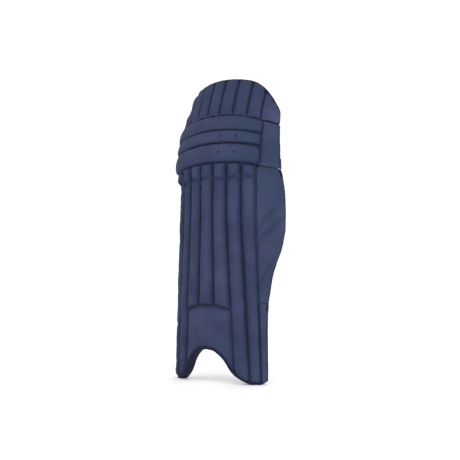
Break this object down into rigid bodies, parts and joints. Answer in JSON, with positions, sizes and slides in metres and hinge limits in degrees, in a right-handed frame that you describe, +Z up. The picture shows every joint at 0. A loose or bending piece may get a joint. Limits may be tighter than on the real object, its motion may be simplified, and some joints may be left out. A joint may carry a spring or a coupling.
{
  "type": "cricket leg pad",
  "caption": "Left-leg cricket batting pad with upright cane channels, three folding knee rolls, top hat, hinged calf wing and hook-and-loop straps.",
  "frame": {"origin": "middle of the pad's width and depth, on the surface that its soles stand on", "axes": "+Z up the shin from the soles to the top hat, -Y out of the padded front face, +X towards the wearer's outer side, where the calf wing is"},
  "size_m": [0.2928, 0.1767, 0.7058],
  "materials": {
    "cover": "matt navy coated woven cloth with fine grain",
    "binding": "dark navy folded binding tape",
    "lining": "soft brushed navy-grey lining",
    "foam": "closed-cell foam in its cloth",
    "cane": "dry split cane",
    "webbing": "ribbed woven strap",
    "hook_fabric": "stiff nylon hooks",
    "loop_fabric": "brushed nylon loop",
    "eyelet_metal": "navy painted vent eyelet"
  },
  "bodies": {
    "shin": {"shin_shell": "foam", "shin_lining": "lining", "shin_channel_1": "cover", "shin_channel_2": "cover", "shin_channel_3": "cover", "shin_channel_4": "cover", "shin_channel_5": "cover", "shin_channel_6": "cover", "shin_channel_7": "cover", "shin_canes": "cane", "instep_panel": "cover", "lower_binding": "binding", "inner_binding": "binding", "inner_side_strip": "cover", "outer_side_strip": "cover", "shin_bolsters": "lining", "ankle_strap_anchor": "webbing", "ankle_tab": "loop_fabric", "calf_tab": "loop_fabric"},
    "wing": {"wing_cover": "cover", "wing_foam": "foam", "wing_lining": "lining", "wing_binding": "binding", "calf_strap_anchor": "webbing"},
    "knee_lower": {"knee_lower_roll": "cover", "knee_lower_core": "foam", "knee_lower_backing": "lining", "knee_lower_side": "cover", "knee_lower_eyelets": "eyelet_metal", "knee_strap_anchor": "webbing", "knee_tab": "loop_fabric"},
    "knee_middle": {"knee_middle_roll": "cover", "knee_middle_core": "foam", "knee_middle_backing": "lining", "knee_middle_side": "cover", "knee_middle_eyelets": "eyelet_metal", "knee_cup": "lining"},
    "knee_upper": {"knee_upper_roll": "cover", "knee_upper_core": "foam", "knee_upper_backing": "lining", "knee_upper_side": "cover"},
    "top_hat": {"top_hat_shell": "foam", "top_hat_lining": "lining", "top_hat_channel_1": "cover", "top_hat_channel_2": "cover", "top_hat_channel_3": "cover", "top_hat_channel_4": "cover", "top_hat_channel_5": "cover", "top_hat_channel_6": "cover", "top_hat_channel_7": "cover", "top_hat_flange_inner": "cover", "top_hat_flange_outer": "cover", "top_hat_binding": "binding"},
    "strap_ankle": {"ankle_strap": "webbing", "ankle_strap_hook": "hook_fabric"},
    "strap_calf": {"calf_strap": "webbing", "calf_strap_hook": "hook_fabric"},
    "strap_knee": {"knee_strap": "webbing", "knee_strap_hook": "hook_fabric"}
  },
  "joints": [
    {"name": "knee_fold_lower", "type": "hinge", "parent": "shin", "child": "knee_lower", "pos_m": [-0.00364, -0.05282, 0.49014], "axis": [-1, 0, 0], "range_deg": [0, 8], "stiffness_Nm_per_rad": 9},
    {"name": "knee_fold_middle", "type": "hinge", "parent": "knee_lower", "child": "knee_middle", "pos_m": [-0.00364, -0.04614, 0.53538], "axis": [-1, 0, 0], "range_deg": [0, 8], "stiffness_Nm_per_rad": 8},
    {"name": "knee_fold_upper", "type": "hinge", "parent": "knee_middle", "child": "knee_upper", "pos_m": [-0.00364, -0.04093, 0.5661], "axis": [-1, 0, 0], "range_deg": [0, 8], "stiffness_Nm_per_rad": 7},
    {"name": "knee_fold_hat", "type": "hinge", "parent": "knee_upper", "child": "top_hat", "pos_m": [-0.00364, -0.03254, 0.60166], "axis": [-1, 0, 0], "range_deg": [0, 8], "stiffness_Nm_per_rad": 6},
    {"name": "wing_open", "type": "hinge", "parent": "shin", "child": "wing", "pos_m": [0.10122, -0.03173, 0.4], "axis": [0, 0, -1], "range_deg": [0, 25], "stiffness_Nm_per_rad": 1.5},
    {"name": "ankle_strap_open", "type": "hinge", "parent": "shin", "child": "strap_ankle", "pos_m": [0.10905, -0.00005, 0.12], "axis": [0, 0, -1], "range_deg": [0, 100]},
    {"name": "calf_strap_open", "type": "hinge", "parent": "wing", "child": "strap_calf", "pos_m": [0.13108, 0.0347, 0.33], "axis": [0, 0, -1], "range_deg": [0, 100]},
    {"name": "knee_strap_open", "type": "hinge", "parent": "knee_lower", "child": "strap_knee", "pos_m": [0.12245, 0.02751, 0.50041], "axis": [0, -0.1457, -0.9893], "range_deg": [0, 100]}
  ],
  "couplings": [
    {"joint": "knee_fold_middle", "follows": "knee_fold_lower", "ratio": 1},
    {"joint": "knee_fold_upper", "follows": "knee_fold_lower", "ratio": 1},
    {"joint": "knee_fold_hat", "follows": "knee_fold_lower", "ratio": 1}
  ]
}
